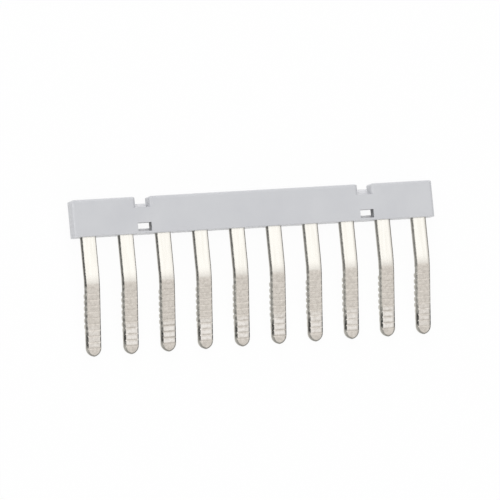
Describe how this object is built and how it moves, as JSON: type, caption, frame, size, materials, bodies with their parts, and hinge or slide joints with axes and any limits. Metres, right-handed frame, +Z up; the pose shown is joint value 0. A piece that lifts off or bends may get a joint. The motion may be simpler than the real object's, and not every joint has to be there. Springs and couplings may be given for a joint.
{
  "type": "terminal block jumper",
  "caption": "Plug-in comb jumper for rail-mounted terminal blocks: flat bent prongs with serrated blades, standing out of a moulded insulating strip with two notched necks.",
  "frame": {"origin": "bottom centre of the box, on the surface that the part lies on", "axes": "+X along the row of prongs, +Y towards the top of the strip, +Z up, out of the front face"},
  "size_m": [0.0604, 0.0242, 0.0028],
  "materials": {
    "polyamide_grey": "moulded, fine satin grain",
    "plated_copper": "bright tin plate, satin, sheared edges darker"
  },
  "bodies": {
    "root": {"insulating_housing": "polyamide_grey", "bridge_comb": "plated_copper"}
  },
  "joints": []
}
